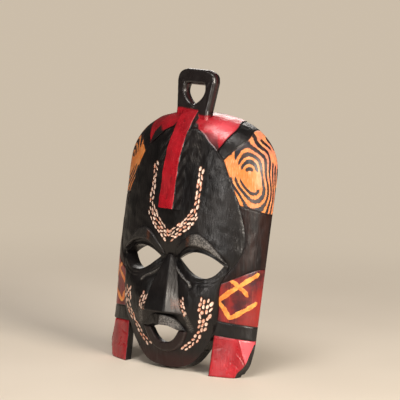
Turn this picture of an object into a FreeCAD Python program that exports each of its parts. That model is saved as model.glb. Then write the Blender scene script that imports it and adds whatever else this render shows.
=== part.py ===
import FreeCAD, Part
import math
import os

# Carved and painted wooden face mask, standing on the two feet that end its side wings.
# Everything is drawn upright first: u runs across the face, v runs up the flat back rim,
# w runs forward from the rim plane. The finished mask is then leaned back and set down
# with its soles on z = 0. All sizes are in millimetres and degrees.

os.makedirs("parts", exist_ok=True)

# ---- overall size -------------------------------------------------------------------------
LEAN = 8.5              # backward lean when it stands on its feet
HALF_WIDTH = 89.0       # half width of the rim
DEPTH = 50.0            # rim plane to the front of the forehead
SHOULDER_V = 202.0      # height where the straight sides turn into the arched top
CROWN_RISE = 60.0       # arch height above the shoulder
ARCH_POWER = 2.25       # flattened arch of the outline
BROW_POWER = 3.4        # blunter arch of the profile
SIDE_WALL = 11.0        # wood thickness at the rim
FRONT_WALL = 16.0       # wood thickness behind the forehead
FLOOR_V = -12.0         # stock left below the feet before the soles are cut level
BEHIND_RIM = 4.0        # stock left behind the rim before it is cut flat

# wing depth and hollow depth at the heights where the lower wings flatten towards the feet
LOWER_LEVELS = (
    (FLOOR_V, 31.0, 9.0),
    (12.0, 31.0, 12.0),
    (37.0, 32.0, 17.0),
    (62.0, 36.5, 23.0),
    (88.0, 44.5, 29.0),
    (112.0, 49.3, 33.0),
    (140.0, DEPTH, DEPTH - FRONT_WALL),
    (172.0, DEPTH, DEPTH - FRONT_WALL),
    (SHOULDER_V, DEPTH, DEPTH - FRONT_WALL),
)
ARCH_STEPS = (0.25, 0.5, 0.7, 0.84, 0.93, 0.98, 0.995)

# ---- carved face --------------------------------------------------------------------------
# Edge of the black carved face against the painted wings, right half, from the crown down.
FACE_EDGE = (
    (14.0, 243.0), (22.0, 239.0), (31.0, 231.0), (41.0, 223.0), (49.5, 214.0),
    (63.5, 183.5), (73.0, 157.7), (77.0, 138.0), (72.0, 112.0), (60.5, 92.0),
    (57.5, 66.0), (55.5, 48.0), (52.0, 37.0), (47.5, 27.5), (41.5, 18.5), (34.0, 9.5), (24.0, 2.6), (12.0, -0.6),
)
CHIN_V = -1.5
BROW_CUT = ((0.0, 121.0), (14.0, 128.0), (30.0, 139.0), (50.0, 130.0), (66.0, 114.0), (95.0, 114.0))
JAW_CUT_V = 52.5

# Height of the carved face above the rim plane: one row per level, read at FACE_STATIONS.
FACE_STATIONS = (0.0, 12.0, 24.0, 36.0, 48.0, 58.0, 70.0)
FACE_ROWS = (
    (150.0, (50.0, 49.5, 48.1, 45.7, 42.1, 37.9, 30.9)),
    (135.0, (50.0, 49.5, 48.1, 45.7, 42.1, 37.9, 30.9)),
    (122.0, (47.6, 47.6, 46.8, 44.8, 41.4, 37.6, 30.7)),
    (110.0, (41.6, 42.8, 44.8, 43.6, 40.8, 37.0, 30.4)),
    (98.0, (41.4, 42.4, 43.6, 42.8, 40.2, 36.6, 29.8)),
    (86.0, (41.6, 43.0, 45.2, 44.4, 41.4, 36.4, 29.0)),
    (70.0, (41.5, 43.2, 46.4, 45.2, 41.4, 35.4, 27.6)),
    (58.0, (39.5, 42.2, 45.6, 43.4, 38.8, 32.6, 25.4)),
    (48.0, (37.8, 38.8, 39.8, 38.4, 34.2, 29.0, 22.6)),
    (36.0, (36.0, 35.6, 34.2, 31.6, 27.2, 23.4, 18.6)),
    (22.0, (31.8, 31.4, 30.0, 27.4, 23.2, 19.8, 15.8)),
    (8.0, (27.8, 27.3, 25.8, 23.2, 19.6, 16.6, 13.2)),
    (-6.0, (24.2, 23.7, 22.2, 19.8, 16.6, 14.0, 11.0)),
)

EYE = ((11.5, 110.0), (22.0, 116.4), (37.0, 118.8), (51.0, 115.2), (62.0, 109.0),
       (53.5, 97.6), (41.5, 93.2), (29.5, 95.8), (19.5, 102.8))
EYE_SLANT = 0.42        # the eye holes are cut square to the curved face: inward shift per mm of depth
MOUTH = ((0.0, 40.6), (9.0, 40.2), (17.5, 37.6), (13.0, 30.5), (6.5, 25.0), (0.0, 23.6))
MOUTH_FLARE_W = 37.0    # behind this height the mouth hole widens backwards
MOUTH_BACK_SCALE = 2.3  # how much wider the hole would be at the rim plane
MOUTH_MIDDLE_V = 34.0
BROW = ((6.0, 111.0), (11.0, 122.0), (20.0, 131.5), (31.0, 137.5), (44.0, 133.0), (56.0, 122.0),
        (64.5, 111.0), (57.0, 115.3), (46.0, 121.5), (34.0, 124.0), (22.0, 121.5), (12.0, 113.5))
BROW_RAISE = 4.0
LIP_TOP = ((0.0, 52.0), (10.0, 51.0), (20.0, 45.5), (27.5, 37.8))
LIP_BOTTOM = ((27.5, 37.8), (23.0, 27.0), (13.0, 17.0), (0.0, 13.5))
LIP_SPLIT_V = 37.6
LIP_RAISE = 3.0
UPPER_LIP_PROW_W = 49.0     # the upper lip runs to an upright edge on the centre line
UPPER_LIP_SLOPE = 0.46

# Nose sections from the root down: level, half width and height of the ridge, half width and
# height of the shoulder, half width of the foot on the cheeks.
NOSE_SECTIONS = (
    (113.0, 2.6, 44.5, 4.0, 42.0, 5.5),
    (98.0, 6.0, 50.0, 8.2, 46.5, 11.5),
    (77.0, 10.0, 56.0, 13.5, 51.0, 18.0),
    (54.0, 12.5, 59.5, 19.0, 50.5, 26.5),
)
NOSE_ROOT_W = 30.0

# ---- forehead crest and hanging loop --------------------------------------------------------
CREST_HALF = 9.3
CREST_PROFILE = ((159.0, 62.6), (176.0, 62.2), (202.0, 62.0), (218.0, 59.8), (229.0, 56.8),
                 (243.0, 50.6), (256.0, 43.0), (261.0, 38.0))
LOOP_BACK_W = 25.5
LOOP_FRONT_W = 38.0
LOOP_FOOT_V = 262.0
LOOP_PEDESTAL_V = 246.0
LOOP_OUTLINE = ((20.5, LOOP_PEDESTAL_V), (20.7, LOOP_FOOT_V), (24.3, 291.0), (21.5, 299.5), (13.0, 303.4))
LOOP_HOLE = ((12.3, 287.8), (0.0, 267.0))
LOOP_EDGE = 3.2         # rounding of the bars
HOLE_CORNER = 2.0       # rounding of the hole's corners

# ---- painted zones of the wings: points along each cut from the face out to the rim -----------
WING_CUTS = (
    ("crown_band", ((43.0, 223.5), (49.5, 239.0), (51.0, 247.5), (42.5, 257.0))),
    ("zebra_panel", ((49.5, 214.5), (58.5, 227.0), (64.5, 240.0), (60.0, 249.5))),
    ("side_panel", ((69.0, 171.5), (89.0, 166.0))),
    ("giraffe_panel", ((60.0, 91.0), (75.0, 100.0), (88.8, 110.5))),
    ("ankle_band", ((58.0, 52.5), (88.8, 51.5))),
    ("foot", ((54.5, 37.5), (88.8, 37.5))),
)
REACH_IN = 4.0          # how far each cut is run on under the face
REACH_OUT = 45.0        # and beyond the rim
FOOT_INNER_U = 53.0
# Outer lower corner cut off each foot, and the back of the foot hollowed out to a thin wall.
FOOT_CORNER = ((88.5, 32.0), (98.0, 32.0), (98.0, -17.0), (77.5, -17.0), (79.5, 1.0), (84.5, 9.5), (87.0, 18.0))
FOOT_HOLLOW = ((45.0, -5.0), (80.0, -5.0), (78.0, 3.0), (70.0, 9.5), (60.0, 13.5), (45.0, 17.0))
FOOT_HOLLOW_TOP_V = 50.0


def point(u, v, w):
    """Upright mask coordinates to CAD space: forward is -Y."""
    return FreeCAD.Vector(u, -w, v)


def spline_edge(points):
    curve = Part.BSplineCurve()
    curve.interpolate(points)
    return curve.toShape()


def segment(start, end):
    return Part.makeLine(start, end)


def mirrored(outline):
    """The same outline on the other half of the face."""
    return [(-u, v) for u, v in outline]


def prism(edges, back_w, front_w):
    """Closed loop of edges drawn at w = back_w, extruded forward to front_w."""
    face = Part.Face(Part.Wire(edges))
    return face.extrude(FreeCAD.Vector(0, back_w - front_w, 0))


def polygon_prism(outline, back_w=-5.0, front_w=80.0):
    points = [point(u, v, back_w) for u, v in outline]
    return prism(Part.makePolygon(points + points[:1]).Edges, back_w, front_w)


def smooth_prism(runs, back_w=-5.0, front_w=80.0):
    """Prism over a closed outline made of smooth runs that share their end points."""
    edges = []
    for run in runs:
        points = [point(u, v, back_w) for u, v in run]
        edges.append(spline_edge(points) if len(points) > 2 else segment(*points))
    return prism(edges, back_w, front_w)


# ---- shell -----------------------------------------------------------------------------------
def half_section(half_width, depth, level):
    """Half ellipse at one level, run on straight behind the rim plane and closed there."""
    steps = 12
    arc = []
    for i in range(steps + 1):
        angle = math.pi * (i / steps - 0.5)
        arc.append(point(half_width * math.sin(angle), level, depth * math.cos(angle)))
    left = point(-half_width, level, -BEHIND_RIM)
    right = point(half_width, level, -BEHIND_RIM)
    return Part.Wire([segment(left, arc[0]), spline_edge(arc), segment(arc[-1], right), segment(right, left)])


def arch_scale(step, power):
    return (1.0 - step ** power) ** (1.0 / power)


def half_body(half_width, rise, lower, arch_depth):
    """Straight lower part and arched crown in one loft."""
    sections = [half_section(half_width, depth, level) for level, depth in lower]
    for step in ARCH_STEPS:
        width = half_width * arch_scale(step, ARCH_POWER)
        depth = arch_depth * arch_scale(step, BROW_POWER)
        sections.append(half_section(width, depth, SHOULDER_V + rise * step))
    return Part.makeLoft(sections, True, False)


def outer_body():
    lower = [(level, depth) for level, depth, hollow in LOWER_LEVELS]
    return half_body(HALF_WIDTH, CROWN_RISE, lower, DEPTH)


def hollow_body():
    lower = [(level, hollow) for level, depth, hollow in LOWER_LEVELS]
    rise = CROWN_RISE - SIDE_WALL
    return half_body(HALF_WIDTH - SIDE_WALL, rise, lower, DEPTH - FRONT_WALL)


def face_block(raised=0.0):
    """Stock behind the carved front of the face; raised lifts that front forward."""
    stations = [-u for u in reversed(FACE_STATIONS[1:])] + list(FACE_STATIONS)
    grid = []
    for level, row in reversed(FACE_ROWS):
        heights = list(reversed(row[1:])) + list(row)
        grid.append([point(u, level, w + raised) for u, w in zip(stations, heights)])
    surface = Part.BSplineSurface()
    surface.interpolate(grid)
    return surface.toShape().extrude(FreeCAD.Vector(0, 90, 0))


def face_prism():
    edge = list(FACE_EDGE)
    left = mirrored(reversed(edge))
    chin = [edge[-1], (0.0, CHIN_V), left[0]]
    corner = edge.index((49.5, 214.0))
    runs = [[left[-1], edge[0]], edge[:corner + 1], edge[corner:], chin]
    turn = len(left) - 1 - corner
    runs += [left[:turn + 1], left[turn:]]
    return smooth_prism(runs)


def below_brow_prism():
    right = list(BROW_CUT)
    left = mirrored(reversed(right[1:]))
    top = left + right
    return smooth_prism([top[:2], top[1:-1], top[-2:], [top[-1], (95.0, -20.0)],
                         [(95.0, -20.0), (-95.0, -20.0)], [(-95.0, -20.0), top[0]]])


def outline_wire(runs, plane_w, shift):
    """Closed wire at w = plane_w over smooth runs, each point moved by shift(u, v)."""
    edges = []
    for run in runs:
        moved = [shift(u, v) for u, v in run]
        edges.append(spline_edge([point(u, v, plane_w) for u, v in moved]))
    return Part.Wire(edges)


def eye_hole():
    """Hole square to the curved face, so that it slants towards the middle going back."""
    runs = [list(EYE[:5]), list(EYE[4:]) + [EYE[0]]]
    wires = []
    for plane_w in (-5.0, 80.0):
        def slanted(u, v):
            face_height = 44.0 - 0.0023 * u * u
            return u + EYE_SLANT * (plane_w - face_height), v
        wires.append(outline_wire(runs, plane_w, slanted))
    return Part.makeLoft(wires, True, True)


def centred_prism(top, bottom):
    """Prism over an outline given by the right halves of its top and bottom runs."""
    upper = mirrored(reversed(top[1:])) + list(top)
    lower = list(bottom) + mirrored(reversed(bottom[:-1]))
    return smooth_prism([upper, lower])


def mouth_hole():
    """Straight through the lips, then flaring towards the hollow."""
    straight = centred_prism(MOUTH[:3], MOUTH[2:])
    top = mirrored(reversed(MOUTH[1:3])) + list(MOUTH[:3])
    low = list(MOUTH[2:]) + mirrored(reversed(MOUTH[2:-1]))
    wires = []
    for plane_w, scale in ((0.0, MOUTH_BACK_SCALE), (MOUTH_FLARE_W, 1.0)):
        def flared(u, v):
            rise = 1.0 + (scale - 1.0) * 0.5
            return u * scale, MOUTH_MIDDLE_V + (v - MOUTH_MIDDLE_V) * rise
        wires.append(outline_wire([top, low], plane_w, flared))
    return straight.fuse(Part.makeLoft(wires, True, True))


def lips():
    """Both lips: the raised ring round the mouth, parted level with its corners."""
    ring = centred_prism(LIP_TOP, LIP_BOTTOM).cut(face_block()).cut(mouth_hole())
    below = Part.makeBox(400, 200, LIP_SPLIT_V + 100, FreeCAD.Vector(-200, -150, -100))
    reach = 30.0
    side_w = UPPER_LIP_PROW_W - UPPER_LIP_SLOPE * reach
    section = ((-reach, 20.0), (-reach, side_w), (0.0, UPPER_LIP_PROW_W), (reach, side_w), (reach, 20.0))
    points = [point(u, 30.0, w) for u, w in section]
    wedge = Part.Face(Part.makePolygon(points + points[:1])).extrude(FreeCAD.Vector(0, 0, 30))
    return ring.cut(below).common(wedge), ring.common(below).common(face_block(LIP_RAISE))


def mirror_solid(shape):
    return shape.mirror(FreeCAD.Vector(0, 0, 0), FreeCAD.Vector(1, 0, 0))


# ---- raised features ---------------------------------------------------------------------------
def nose_solid():
    sections = []
    for level, ridge, ridge_w, shoulder, shoulder_w, foot in NOSE_SECTIONS:
        half = [(foot, NOSE_ROOT_W), (foot, shoulder_w - 8.0), (shoulder, shoulder_w), (ridge, ridge_w)]
        outline = half + [(-u, w) for u, w in reversed(half)]
        points = [point(u, level, w) for u, w in outline]
        sections.append(Part.makePolygon(points + points[:1]))
    return Part.makeLoft(sections, True, True)


def crest_solid():
    front = [FreeCAD.Vector(-CREST_HALF, -w, v) for v, w in CREST_PROFILE]
    low = FreeCAD.Vector(-CREST_HALF, -30.0, CREST_PROFILE[0][0])
    high = FreeCAD.Vector(-CREST_HALF, -30.0, CREST_PROFILE[-1][0])
    edges = [spline_edge(front), segment(front[-1], high), segment(high, low), segment(low, front[0])]
    return Part.Face(Part.Wire(edges)).extrude(FreeCAD.Vector(2 * CREST_HALF, 0, 0))


def outline_edges(solid, lowest):
    """Edges of a prism that lie on its front or back face above a given level."""
    return [edge for edge in solid.Edges if edge.BoundBox.YLength < 1.0 and edge.BoundBox.ZMin > lowest]


def loop_solid():
    """Loop and its root as one block, pierced by a rounded triangle, its bars rounded off."""
    right = list(LOOP_OUTLINE)
    block = polygon_prism(right + mirrored(reversed(right)), LOOP_BACK_W, LOOP_FRONT_W)
    corner, tip = LOOP_HOLE
    hole = polygon_prism([corner, tip, (-corner[0], corner[1])])
    across = [edge for edge in hole.Edges if edge.BoundBox.YLength > 50.0]
    block = block.cut(hole.makeFillet(HOLE_CORNER, across))
    return block.makeFillet(LOOP_EDGE, outline_edges(block, LOOP_PEDESTAL_V - 1.0))


# ---- wing zones ----------------------------------------------------------------------------------
def run_on(start, towards, reach):
    """The point reached by running on from start, away from its neighbour towards."""
    du = start[0] - towards[0]
    dv = start[1] - towards[1]
    length = math.hypot(du, dv)
    return start[0] + du * reach / length, start[1] + dv * reach / length


def cut_line(points):
    """A cut with both of its ends run past the wood."""
    inner = run_on(points[0], points[1], REACH_IN)
    outer = run_on(points[-1], points[-2], REACH_OUT)
    return inner, list(points), outer


def zone_prism(upper, lower):
    """Prism between one cut and the next one down."""
    inner, points, outer = cut_line(upper)
    low_inner, low_points, low_outer = cut_line(lower)
    return smooth_prism([[inner, points[0]], points, [points[-1], outer], [outer, low_outer],
                         [low_outer, low_points[-1]], low_points[::-1], [low_points[0], low_inner],
                         [low_inner, inner]])


def zone_prisms():
    """Right-hand zones as (name, prism): each runs from its own cut to the next one."""
    cuts = [points for name, points in WING_CUTS]
    cuts.append(((FOOT_INNER_U, FLOOR_V - 5.0), (HALF_WIDTH, FLOOR_V - 5.0)))
    return [(name, zone_prism(upper, lower)) for (name, points), upper, lower in zip(WING_CUTS, cuts, cuts[1:])]


def crown_prism():
    """Everything above the two crown bands."""
    inner, points, outer = cut_line(WING_CUTS[0][1])
    right = [[inner, points[0]], points, [points[-1], outer]]
    left = [mirrored(run[::-1]) for run in right[::-1]]
    return smooth_prism(right + [[outer, left[0][0]]] + left + [[left[-1][-1], inner]])


def foot_shaping():
    """Stock taken off a foot: its inner side, its outer lower corner and its hollow back."""
    low_v = FLOOR_V - 5.0
    inner = polygon_prism([(30.0, 37.0), (FOOT_INNER_U + 1.0, 37.0), (FOOT_INNER_U, low_v), (30.0, low_v)])
    hollow = [point(u, low_v, w) for u, w in FOOT_HOLLOW]
    hollow = Part.Face(Part.makePolygon(hollow + hollow[:1]))
    hollow = hollow.extrude(FreeCAD.Vector(0, 0, FOOT_HOLLOW_TOP_V - low_v))
    return inner.fuse(polygon_prism(FOOT_CORNER)), hollow


def tidy(shape):
    """The largest solid of a result, with leftover seams removed."""
    solid = max(shape.Solids, key=lambda body: body.Volume)
    return solid.removeSplitter()


def stand(shape):
    """Lean the upright shape back and centre its footprint between nose tip and crown."""
    lean = math.radians(LEAN)
    crown_v = SHOULDER_V + CROWN_RISE * ARCH_STEPS[-1]
    tip_v, tip_w = NOSE_SECTIONS[-1][0], NOSE_SECTIONS[-1][2]
    back = crown_v * math.sin(lean)
    front = tip_v * math.sin(lean) - tip_w * math.cos(lean)
    leaned = shape.copy()
    leaned.rotate(FreeCAD.Vector(0, 0, 0), FreeCAD.Vector(1, 0, 0), -LEAN)
    leaned.translate(FreeCAD.Vector(0, -(back + front) / 2.0, 0))
    return leaned


def build():
    outer = outer_body()
    hollow = hollow_body()
    rim_stock = Part.makeBox(400, 100, 500, FreeCAD.Vector(-200, 0, -100))
    shell = outer.cut(hollow).cut(rim_stock)
    face_zone = face_prism()
    lower_zone = below_brow_prism()

    pieces = {}
    pieces["forehead"] = shell.common(face_zone).cut(lower_zone)
    carved = face_block().common(face_zone).common(lower_zone).cut(hollow).cut(rim_stock)
    jaw_zone = Part.makeBox(400, 200, JAW_CUT_V + 100, FreeCAD.Vector(-200, -150, -100))
    eye = eye_hole()
    pieces["face"] = carved.cut(jaw_zone).cut(eye).cut(mirror_solid(eye))
    pieces["jaw"] = carved.common(jaw_zone).cut(mouth_hole())

    body = face_block()
    brow_outline = smooth_prism([list(BROW[:7]), list(BROW[6:]) + [BROW[0]]])
    brow_front = face_block(BROW_RAISE)
    brow = brow_outline.common(brow_front).cut(body)
    pieces["brow_ridge_right"] = brow
    pieces["brow_ridge_left"] = mirror_solid(brow)
    pieces["upper_lip"], pieces["lower_lip"] = lips()
    pieces["nose"] = nose_solid().cut(body).cut(brow).cut(mirror_solid(brow))

    loop = loop_solid()
    root_cut = Part.makeBox(100, 100, 200, FreeCAD.Vector(-50, -80, LOOP_FOOT_V - 200))
    pieces["hanging_loop"] = loop.cut(root_cut).cut(outer)
    root = loop.common(root_cut)
    pieces["forehead_crest"] = crest_solid().cut(outer).cut(root)

    wings = shell.cut(face_zone)
    zones = zone_prisms()
    foot_corners, foot_hollow = foot_shaping()
    pieces["crown_cap"] = wings.common(crown_prism()).fuse(root.cut(outer))
    for name, zone in zones:
        panel = wings.common(zone)
        if name == "foot":
            panel = panel.cut(foot_corners)
        if name in ("foot", "ankle_band"):
            panel = panel.cut(foot_hollow)
        pieces[name + "_right"] = panel
        pieces[name + "_left"] = mirror_solid(panel)

    floor = Part.makeBox(400, 300, 200, FreeCAD.Vector(-200, -150, -200))
    for name, shape in pieces.items():
        solid = tidy(stand(tidy(shape)).cut(floor))
        solid.exportStep("parts/" + name + ".step")
        box = solid.BoundBox
        print("%-20s %8.0f mm3 valid %s solids %d  z %.1f to %.1f" % (
            name, solid.Volume, solid.isValid(), len(shape.Solids), box.ZMin, box.ZMax))


build()
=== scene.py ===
import math

import bmesh
import bpy
import numpy as np
from mathutils import Matrix, Vector
from mathutils.geometry import delaunay_2d_cdt


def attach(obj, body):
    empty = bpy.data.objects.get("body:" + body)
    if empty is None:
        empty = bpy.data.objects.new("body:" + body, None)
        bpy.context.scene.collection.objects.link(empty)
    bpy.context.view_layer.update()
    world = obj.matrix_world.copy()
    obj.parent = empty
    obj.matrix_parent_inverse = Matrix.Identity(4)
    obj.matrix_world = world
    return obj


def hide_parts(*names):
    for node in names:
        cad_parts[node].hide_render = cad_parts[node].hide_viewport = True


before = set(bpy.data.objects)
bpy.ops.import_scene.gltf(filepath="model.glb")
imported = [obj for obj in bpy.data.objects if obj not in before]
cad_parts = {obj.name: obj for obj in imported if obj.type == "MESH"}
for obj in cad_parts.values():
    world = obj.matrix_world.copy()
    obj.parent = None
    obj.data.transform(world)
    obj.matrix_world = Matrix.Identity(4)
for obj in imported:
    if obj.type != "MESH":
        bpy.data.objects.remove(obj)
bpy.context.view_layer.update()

# Carved and painted wooden mask. Shapes are drawn upright in millimetres, as in the CAD part:
# u across the face, v up the flat back rim, w forward from it. place() leans them back.

# ---- sizes shared with the CAD part ----
LEAN = math.radians(8.5)
HALF_WIDTH = 89.0
SHOULDER_V = 202.0
CROWN_RISE = 60.0
ARCH_POWER = 2.25
BROW_POWER = 3.4
SIDE_WALL = 11.0
DEPTH = 50.0
NOSE_TIP = (54.0, 59.5)
CROWN_TOP_V = SHOULDER_V + CROWN_RISE * 0.995
LEVELS = (-12.0, 12.0, 37.0, 62.0, 88.0, 112.0, 140.0, 172.0, SHOULDER_V)
WING_DEPTHS = (31.0, 31.0, 32.0, 36.5, 44.5, 49.3, DEPTH, DEPTH, DEPTH)
HOLLOW_DEPTHS = (9.0, 12.0, 17.0, 23.0, 29.0, 33.0, 34.0, 34.0, 34.0)
FACE_EDGE = ((49.5, 214.0), (63.5, 183.5), (73.0, 157.7), (77.0, 138.0), (72.0, 112.0), (60.5, 92.0),
             (57.5, 66.0), (55.5, 48.0), (52.0, 37.0), (47.5, 27.5), (41.5, 18.5), (34.0, 9.5),
             (24.0, 2.6), (12.0, -0.6), (0.0, -1.5))
CROWN_EDGE = ((14.0, 243.0), (22.0, 239.0), (31.0, 231.0), (41.0, 223.0), (49.5, 214.0))
STATIONS = (0.0, 12.0, 24.0, 36.0, 48.0, 58.0, 70.0)
FACE_ROWS = (
    (-6.0, (24.2, 23.7, 22.2, 19.8, 16.6, 14.0, 11.0)),
    (8.0, (27.8, 27.3, 25.8, 23.2, 19.6, 16.6, 13.2)),
    (22.0, (31.8, 31.4, 30.0, 27.4, 23.2, 19.8, 15.8)),
    (36.0, (36.0, 35.6, 34.2, 31.6, 27.2, 23.4, 18.6)),
    (48.0, (37.8, 38.8, 39.8, 38.4, 34.2, 29.0, 22.6)),
    (58.0, (39.5, 42.2, 45.6, 43.4, 38.8, 32.6, 25.4)),
    (70.0, (41.5, 43.2, 46.4, 45.2, 41.4, 35.4, 27.6)),
    (86.0, (41.6, 43.0, 45.2, 44.4, 41.4, 36.4, 29.0)),
    (98.0, (41.4, 42.4, 43.6, 42.8, 40.2, 36.6, 29.8)),
    (110.0, (41.6, 42.8, 44.8, 43.6, 40.8, 37.0, 30.4)),
    (122.0, (47.6, 47.6, 46.8, 44.8, 41.4, 37.6, 30.7)),
    (135.0, (50.0, 49.5, 48.1, 45.7, 42.1, 37.9, 30.9)),
    (150.0, (50.0, 49.5, 48.1, 45.7, 42.1, 37.9, 30.9)),
)
EYE_TOP = ((11.5, 110.0), (22.0, 116.4), (37.0, 118.8), (51.0, 115.2), (62.0, 109.0))
EYE_LOW = ((62.0, 109.0), (53.5, 97.6), (41.5, 93.2), (29.5, 95.8), (19.5, 102.8), (11.5, 110.0))
EYE_SLANT = 0.42
MOUTH_TOP = ((0.0, 40.6), (9.0, 40.2), (17.5, 37.6))                    # right halves, the middle first
MOUTH_LOW = ((0.0, 23.6), (6.5, 25.0), (13.0, 30.5), (17.5, 37.6))
MOUTH_FLARE_W = 37.0
MOUTH_BACK_SCALE = 2.3
MOUTH_MIDDLE_V = 34.0
LIP_TOP = ((0.0, 52.0), (10.0, 51.0), (20.0, 45.5), (27.5, 37.8))
LIP_LOW = ((0.0, 13.5), (13.0, 17.0), (23.0, 27.0), (27.5, 37.8))
LIP_PROW_W = 49.0
LIP_SLOPE = 0.46
BROW_TOP = ((6.0, 111.0), (11.0, 122.0), (20.0, 131.5), (31.0, 137.5), (44.0, 133.0), (56.0, 122.0),
            (64.5, 111.0))
BROW_LOW = ((64.5, 111.0), (57.0, 115.3), (46.0, 121.5), (34.0, 124.0), (22.0, 121.5), (12.0, 113.5),
            (6.0, 111.0))
NOSE_SECTIONS = ((54.0, 12.5, 59.5, 19.0, 50.5, 26.5), (77.0, 10.0, 56.0, 13.5, 51.0, 18.0),
                 (98.0, 6.0, 50.0, 8.2, 46.5, 11.5), (113.0, 2.6, 44.5, 4.0, 42.0, 5.5))
CREST_HALF = 9.3
CREST_PROFILE = ((159.0, 62.6), (176.0, 62.2), (202.0, 62.0), (218.0, 59.8), (229.0, 56.8), (243.0, 50.6),
                 (256.0, 43.0), (261.0, 38.0))
LOOP_OUTLINE = ((20.5, 246.0), (20.7, 262.0), (24.3, 291.0), (21.5, 299.5), (13.0, 303.4))
LOOP_HOLE = ((10.6, 287.3), (0.0, 267.4))
LOOP_MID_W = 31.75
LOOP_HALF_W = 6.25
WING_CUTS = (
    ("crown_band", ((43.0, 223.5), (49.5, 239.0), (51.0, 247.5), (42.5, 257.0))),
    ("zebra_panel", ((49.5, 214.5), (58.5, 227.0), (64.5, 240.0), (60.0, 249.5))),
    ("side_panel", ((69.0, 171.5), (89.0, 166.0))),
    ("giraffe_panel", ((60.0, 91.0), (75.0, 100.0), (88.8, 110.5))),
    ("ankle_band", ((58.0, 52.5), (88.8, 51.5))),
    ("foot", ((54.5, 37.5), (88.8, 37.5))),
)
FOOT_INNER_U = 53.0
FOOT_CORNER = ((88.9, 32.0), (87.0, 18.0), (84.5, 9.5), (79.5, 1.0))
FOOT_WALL = 9.5
LATERAL = 111.0         # half the girth of a wing section, the scale of the lateral coordinate

RANDOM = np.random.default_rng(7)


# ---- small geometry helpers ----
def arr(points):
    return np.array(points, float)


def spline_weights(knots, x):
    """Natural cubic spline as a matrix from knot values to the values at x."""
    knots, x = arr(knots), np.clip(arr(x), knots[0], knots[-1])
    n = len(knots)
    h = np.diff(knots)
    left = np.eye(n)
    right = np.zeros((n, n))
    for i in range(1, n - 1):
        left[i, i - 1:i + 2] = h[i - 1], 2 * (h[i - 1] + h[i]), h[i]
        right[i, i - 1:i + 2] = 6 / h[i - 1], -6 / h[i - 1] - 6 / h[i], 6 / h[i]
    bend = np.linalg.solve(left, right)
    k = np.clip(np.searchsorted(knots, x) - 1, 0, n - 2)
    a = (knots[k + 1] - x) / h[k]
    b = 1 - a
    rows = np.arange(len(x))
    weights = np.zeros((len(x), n))
    weights[rows, k] = a
    weights[rows, k + 1] += b
    weights += ((a ** 3 - a) * h[k] ** 2 / 6)[:, None] * bend[k]
    weights += ((b ** 3 - b) * h[k] ** 2 / 6)[:, None] * bend[k + 1]
    return weights


def resample(line, step):
    """Even points along a polyline, both ends kept."""
    line = arr(line)
    length = np.r_[0, np.cumsum(np.linalg.norm(np.diff(line, axis=0), axis=1))]
    count = max(1, int(math.ceil(length[-1] / step - 1e-6)))
    at = np.linspace(0, length[-1], count + 1)
    return np.stack([np.interp(at, length, line[:, i]) for i in range(line.shape[1])], 1)


def smooth(points, step=0.5):
    """Smooth curve through points, sampled evenly."""
    points = arr(points)
    if len(points) > 2:
        chord = np.r_[0, np.cumsum(np.linalg.norm(np.diff(points, axis=0), axis=1))]
        at = np.linspace(0, chord[-1], 40 * len(points))
        points = spline_weights(chord, at) @ points
    return resample(points, step)


def joined(runs, step):
    """Closed outline from runs that share their ends."""
    return np.concatenate([resample(run, step)[:-1] for run in runs])


def mirror(line):
    """The same line on the other half, reversed so that an outline keeps its turn."""
    return arr(line)[::-1] * (-1, 1)


def whole(half):
    """A line over both halves, left to right, from its right half with the middle point first."""
    return np.concatenate([mirror(half), arr(half)[1:]])


def inside(points, loop):
    hit = np.zeros(len(points), bool)
    a, b = loop, np.roll(loop, -1, 0)
    slope = (b[:, 0] - a[:, 0]) / np.where(b[:, 1] == a[:, 1], 1e-9, b[:, 1] - a[:, 1])
    for i in range(0, len(points), 4000):
        x, y = points[i:i + 4000, :1], points[i:i + 4000, 1:2]
        cross = ((a[:, 1] > y) != (b[:, 1] > y)) & (x < a[:, 0] + slope * (y - a[:, 1]))
        hit[i:i + 4000] = cross.sum(1) % 2 == 1
    return hit


def distance(points, line):
    """Distance from each point to a polyline."""
    a, b = line[:-1], line[1:]
    d = b - a
    length2 = np.maximum((d ** 2).sum(1), 1e-12)
    out = np.empty(len(points))
    for i in range(0, len(points), 2000):
        q = points[i:i + 2000, None, :] - a
        t = np.clip((q * d).sum(2) / length2, 0, 1)
        out[i:i + 2000] = np.sqrt(((q - t[..., None] * d) ** 2).sum(2).min(1))
    return out


def closed(loop):
    return np.concatenate([loop, loop[:1]])


def loops_distance(points, loops, step=2.5):
    return np.min([distance(points, resample(closed(loop), step)) for loop in loops], 0)


def hex_grid(low, high, step):
    rows = np.arange(low[1], high[1], step * 0.866)
    cols = np.arange(low[0], high[0], step)
    x, y = np.meshgrid(cols, rows)
    x = x + (np.arange(len(rows)) % 2)[:, None] * step / 2
    return np.stack([x.ravel(), y.ravel()], 1)


def scatter(loops, step, fine=None, fine_step=0.5):
    """Points inside the first loop and outside the others, closer together where fine says so."""
    low, high = loops[0].min(0), loops[0].max(0)
    points = hex_grid(low, high, step)
    if fine is not None:
        dense = hex_grid(low, high, fine_step)
        points = np.concatenate([points[~fine(points)], dense[fine(dense)]])
    keep = inside(points, loops[0])
    for hole in loops[1:]:
        keep &= ~inside(points, hole)
    points = points[keep]
    return points[loops_distance(points, loops, step) > 0.45 * step]


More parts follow.
